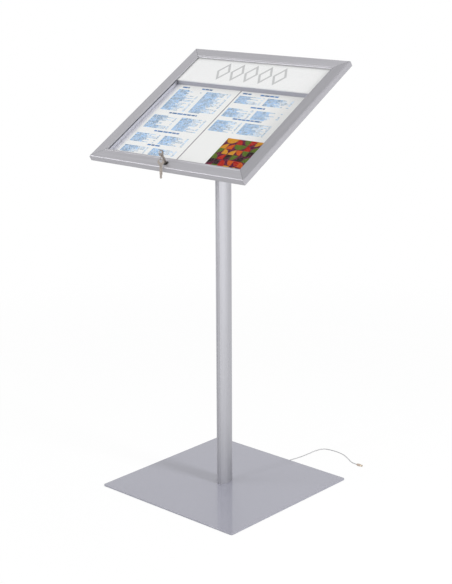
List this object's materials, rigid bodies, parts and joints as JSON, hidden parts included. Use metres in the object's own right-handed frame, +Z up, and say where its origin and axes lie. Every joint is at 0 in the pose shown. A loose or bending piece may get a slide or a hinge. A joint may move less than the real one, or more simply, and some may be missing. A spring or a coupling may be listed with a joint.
{
  "type": "floor menu stand",
  "caption": "Floor-standing lockable menu display case: tilted glazed frame for menu pages side by side under a header panel, on an oval column and a square base plate.",
  "frame": {"origin": "on the floor under the middle of the square base plate", "axes": "+X to the right as a guest reads the pages, +Y to the back of the stand, +Z up"},
  "size_m": [0.516, 0.6028, 1.1254],
  "materials": {
    "silver_coat": "gloss",
    "black_rubber": "matte",
    "steel": "satin",
    "block_metal": "satin",
    "column_metal": "satin anodised",
    "bracket_coat": "satin",
    "lead_jacket": "matte",
    "tan_plastic": "matte",
    "brass": "satin",
    "case_metal": "satin anodised",
    "page_board": "matte",
    "page_paper": "matte",
    "opal_plastic": "satin",
    "circuit_board": "satin",
    "light_chip": "gloss",
    "driver_plastic": "matte",
    "frame_metal": "satin anodised",
    "clear_glazing": "gloss",
    "bead_plastic": "matte",
    "lock_chrome": "polished",
    "key_metal": "satin",
    "ring_wire": "polished"
  },
  "bodies": {
    "stand": {"base_plate": "silver_coat", "base_pads": "black_rubber", "door_seal": "black_rubber", "base_screws": "steel", "set_screws": "steel", "bracket_screws": "steel", "case_rivets": "steel", "hinge_case_leaf": "steel", "hinge_pin": "steel", "foot_block": "block_metal", "column": "column_metal", "head_bracket": "bracket_coat", "cable_duct": "bracket_coat", "inner_lead": "lead_jacket", "power_lead": "lead_jacket", "lead_clips": "lead_jacket", "light_jumpers": "lead_jacket", "lead_connector": "tan_plastic", "connector_barrel": "brass", "back_plate": "case_metal", "wall_left": "case_metal", "wall_right": "case_metal", "wall_bottom": "case_metal", "header_apron": "case_metal", "header_ledge": "case_metal", "page_ledge": "case_metal", "page_board": "page_board", "page_left": "page_paper", "page_right": "page_paper", "header_insert": "opal_plastic", "light_boards": "circuit_board", "light_chips": "light_chip", "light_driver": "driver_plastic"},
    "door": {"hinge_door_leaf": "steel", "hinge_door_rivets": "steel", "rail_top": "frame_metal", "rail_bottom": "frame_metal", "rail_left": "frame_metal", "rail_right": "frame_metal", "corner_keys": "block_metal", "door_glass": "clear_glazing", "glass_beads": "bead_plastic", "lock_body": "lock_chrome", "lock_nut": "steel"},
    "lock": {"lock_plug": "lock_chrome", "lock_cam": "steel", "cam_screw": "steel", "key": "key_metal"},
    "ring": {"key_ring": "ring_wire"},
    "spare": {"spare_key": "key_metal"}
  },
  "joints": [
    {"name": "door_hinge", "type": "hinge", "parent": "stand", "child": "door", "pos_m": [0, 0.18966, 1.11396], "axis": [-1, 0, 0], "range_deg": [0, 125]},
    {"name": "lock_turn", "type": "hinge", "parent": "door", "child": "lock", "pos_m": [0, -0.20515, 0.89575], "axis": [0, 0.515, -0.8572], "range_deg": [0, 90]},
    {"name": "ring_swing", "type": "hinge", "parent": "door", "child": "ring", "pos_m": [0, -0.22245, 0.92355], "axis": [-0.6157, 0.788, 0], "range_deg": [0, 120]},
    {"name": "spare_swing", "type": "hinge", "parent": "ring", "child": "spare", "pos_m": [0, -0.22245, 0.90615], "axis": [-0.6157, 0.788, 0], "range_deg": [0, 60]}
  ]
}
